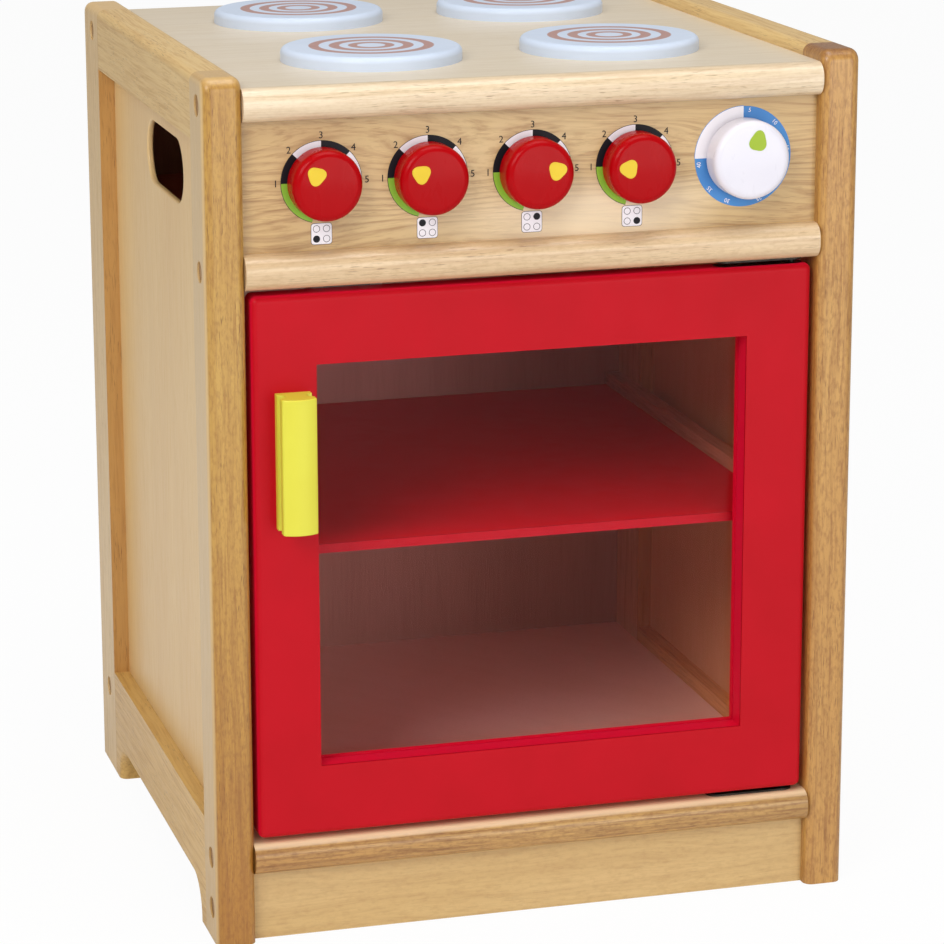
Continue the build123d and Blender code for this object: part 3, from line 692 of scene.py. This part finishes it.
for index, (x, filled) in enumerate(key_marks, 1):
    print_shape(f"key_{index}_outline", rounded_square(KEY_SIZE + 0.0005, 0.0018), INK_THICK,
                (x, BOARD_FACE - INK_GAP, KEY_LEVEL), black_ink)
    print_shape(f"key_{index}_card", rounded_square(KEY_SIZE, 0.0016), INK_THICK,
                (x, BOARD_FACE - 3 * INK_GAP, KEY_LEVEL), white_ink)
    for side, side_name in ((-1, "left"), (1, "right")):
        for rise, rise_name in ((-1, "low"), (1, "high")):
            if (side, rise) == filled:
                mark = disc(MARK_RADIUS, 28)
            else:
                mark = ring_sector(MARK_RADIUS - RING_LINE, MARK_RADIUS, 0, 360)
            print_shape(f"key_{index}_disc_{side_name}_{rise_name}", mark, INK_THICK,
                        (x + side * KEY_STEP, BOARD_FACE - 5 * INK_GAP, KEY_LEVEL + rise * KEY_STEP),
                        black_ink)

TIMER_RING_IN = 0.0200
TIMER_RING_OUT = 0.0302
MINUTE_REACH = 0.0278
print_sector("timer_ring_white", TIMER_X, TIMER_Z, TIMER_RING_IN, TIMER_RING_OUT, 90, 180, white_ink)
print_sector("timer_ring_blue", TIMER_X, TIMER_Z, TIMER_RING_IN, TIMER_RING_OUT, 180, 450, blue_ink)
print_sector("timer_ring_outline", TIMER_X, TIMER_Z, TIMER_RING_OUT, TIMER_RING_OUT + RING_LINE,
             90, 180, blue_ink)
for minutes, turn in ((5, 82), (10, 45), (15, 8), (20, -35), (25, -68), (30, 250), (35, 222), (40, 188)):
    angle = math.radians(turn)
    print_text(f"timer_number_{minutes}", str(minutes), 0.0026,
               TIMER_X + MINUTE_REACH * math.cos(angle), TIMER_Z + MINUTE_REACH * math.sin(angle),
               white_ink, turn=turn - 90, lift=INK_THICK + 2 * INK_GAP)

# Floor and light -------------------------------------------------------------------------------
# A wide pale floor that fades into a white room, one big soft lamp from the upper left, a weaker
# one from the right and a soft top light.
floor_mesh = bmesh.new()
bmesh.ops.create_grid(floor_mesh, x_segments=1, y_segments=1, size=40.0)
bmesh.ops.translate(floor_mesh, verts=floor_mesh.verts, vec=(0, 0, -0.0003))
floor_data = bpy.data.meshes.new("studio_floor")
floor_mesh.to_mesh(floor_data)
floor_mesh.free()
studio_floor = bpy.data.objects.new("studio_floor", floor_data)
bpy.context.scene.collection.objects.link(studio_floor)


def floor_finish():
    """White matt floor that looks as bright as the room behind it and keeps a soft shadow."""
    material, tree, shader, place = start_material("studio_floor_finish")
    tone = remap(tree, noise(tree, place, 3.0, 2.0), 0.3, 0.7, 0.90, 0.93)
    body = add(tree, "CombineColor")
    for channel in range(3):
        tree.links.new(tone, body.inputs[channel])
    tree.links.new(body.outputs[0], shader.inputs["Base Color"])
    shader.inputs["Roughness"].default_value = 0.9
    white = add(tree, "Emission", None, Color=(1, 1, 1, 1), Strength=1.0)
    path = tree.nodes.new("ShaderNodeLightPath")
    share = combine(tree, "MULTIPLY", path.outputs["Is Camera Ray"], 0.95)
    send_mix(tree, share, shader.outputs[0], white.outputs[0],
             tree.nodes["Material Output"].inputs["Surface"])
    return material


studio_floor.data.materials.append(floor_finish())


def soft_lamp(name, place, target, size, power):
    """A square soft lamp that looks at a point."""
    data = bpy.data.lights.new(name, "AREA")
    data.shape = "SQUARE"
    data.size = size
    data.energy = power
    lamp = bpy.data.objects.new(name, data)
    lamp.location = place
    lamp.rotation_euler = (Vector(target) - Vector(place)).to_track_quat("-Z", "Y").to_euler()
    bpy.context.scene.collection.objects.link(lamp)


soft_lamp("key_lamp", (-1.8, -2.0, 1.9), (0, 0, 0.3), 1.4, 43)
soft_lamp("fill_lamp", (0.9, -2.9, 0.45), (0, 0, 0.25), 1.6, 26)
soft_lamp("top_lamp", (0.15, -0.5, 2.5), (0, 0, 0.4), 1.5, 25)

world = bpy.data.worlds.new("white_room")
bpy.context.scene.world = world
world.use_nodes = True
tree = world.node_tree
tree.nodes.clear()
room_light = add(tree, "Background", None, Color=(1.0, 1.0, 1.0, 1.0), Strength=0.36)
room_white = add(tree, "Background", None, Color=(1.0, 1.0, 1.0, 1.0), Strength=1.0)
path = tree.nodes.new("ShaderNodeLightPath")
seen = combine(tree, "MAXIMUM", path.outputs["Is Camera Ray"], path.outputs["Is Transmission Ray"])
send_mix(tree, seen, room_light.outputs[0], room_white.outputs[0],
         add(tree, "OutputWorld").inputs["Surface"])
bpy.context.scene.view_settings.view_transform = "Standard"

# Camera ----------------------------------------------------------------------------------------
# A long lens a little above the hob and to the left of the front, about two metres away, with a
# slight shift. Its three axes are given as they lie in the room.
lens = bpy.data.cameras.new("camera")
lens.sensor_width = 36.0
lens.lens = 134.27
lens.shift_x = 0.1208
lens.shift_y = -0.0707
lens.clip_start = 0.05
lens.clip_end = 50.0
camera = bpy.data.objects.new("camera", lens)
bpy.context.scene.collection.objects.link(camera)
right = Vector((0.96801, -0.25075, -0.00920))
up = Vector((0.06792, 0.22657, 0.97162))
back = Vector((-0.24155, -0.94117, 0.23635))
stand = Matrix.Translation((-0.607205, -2.115660, 0.815622))
camera.matrix_world = stand @ Matrix((right, up, back)).transposed().to_4x4()
bpy.context.scene.camera = camera
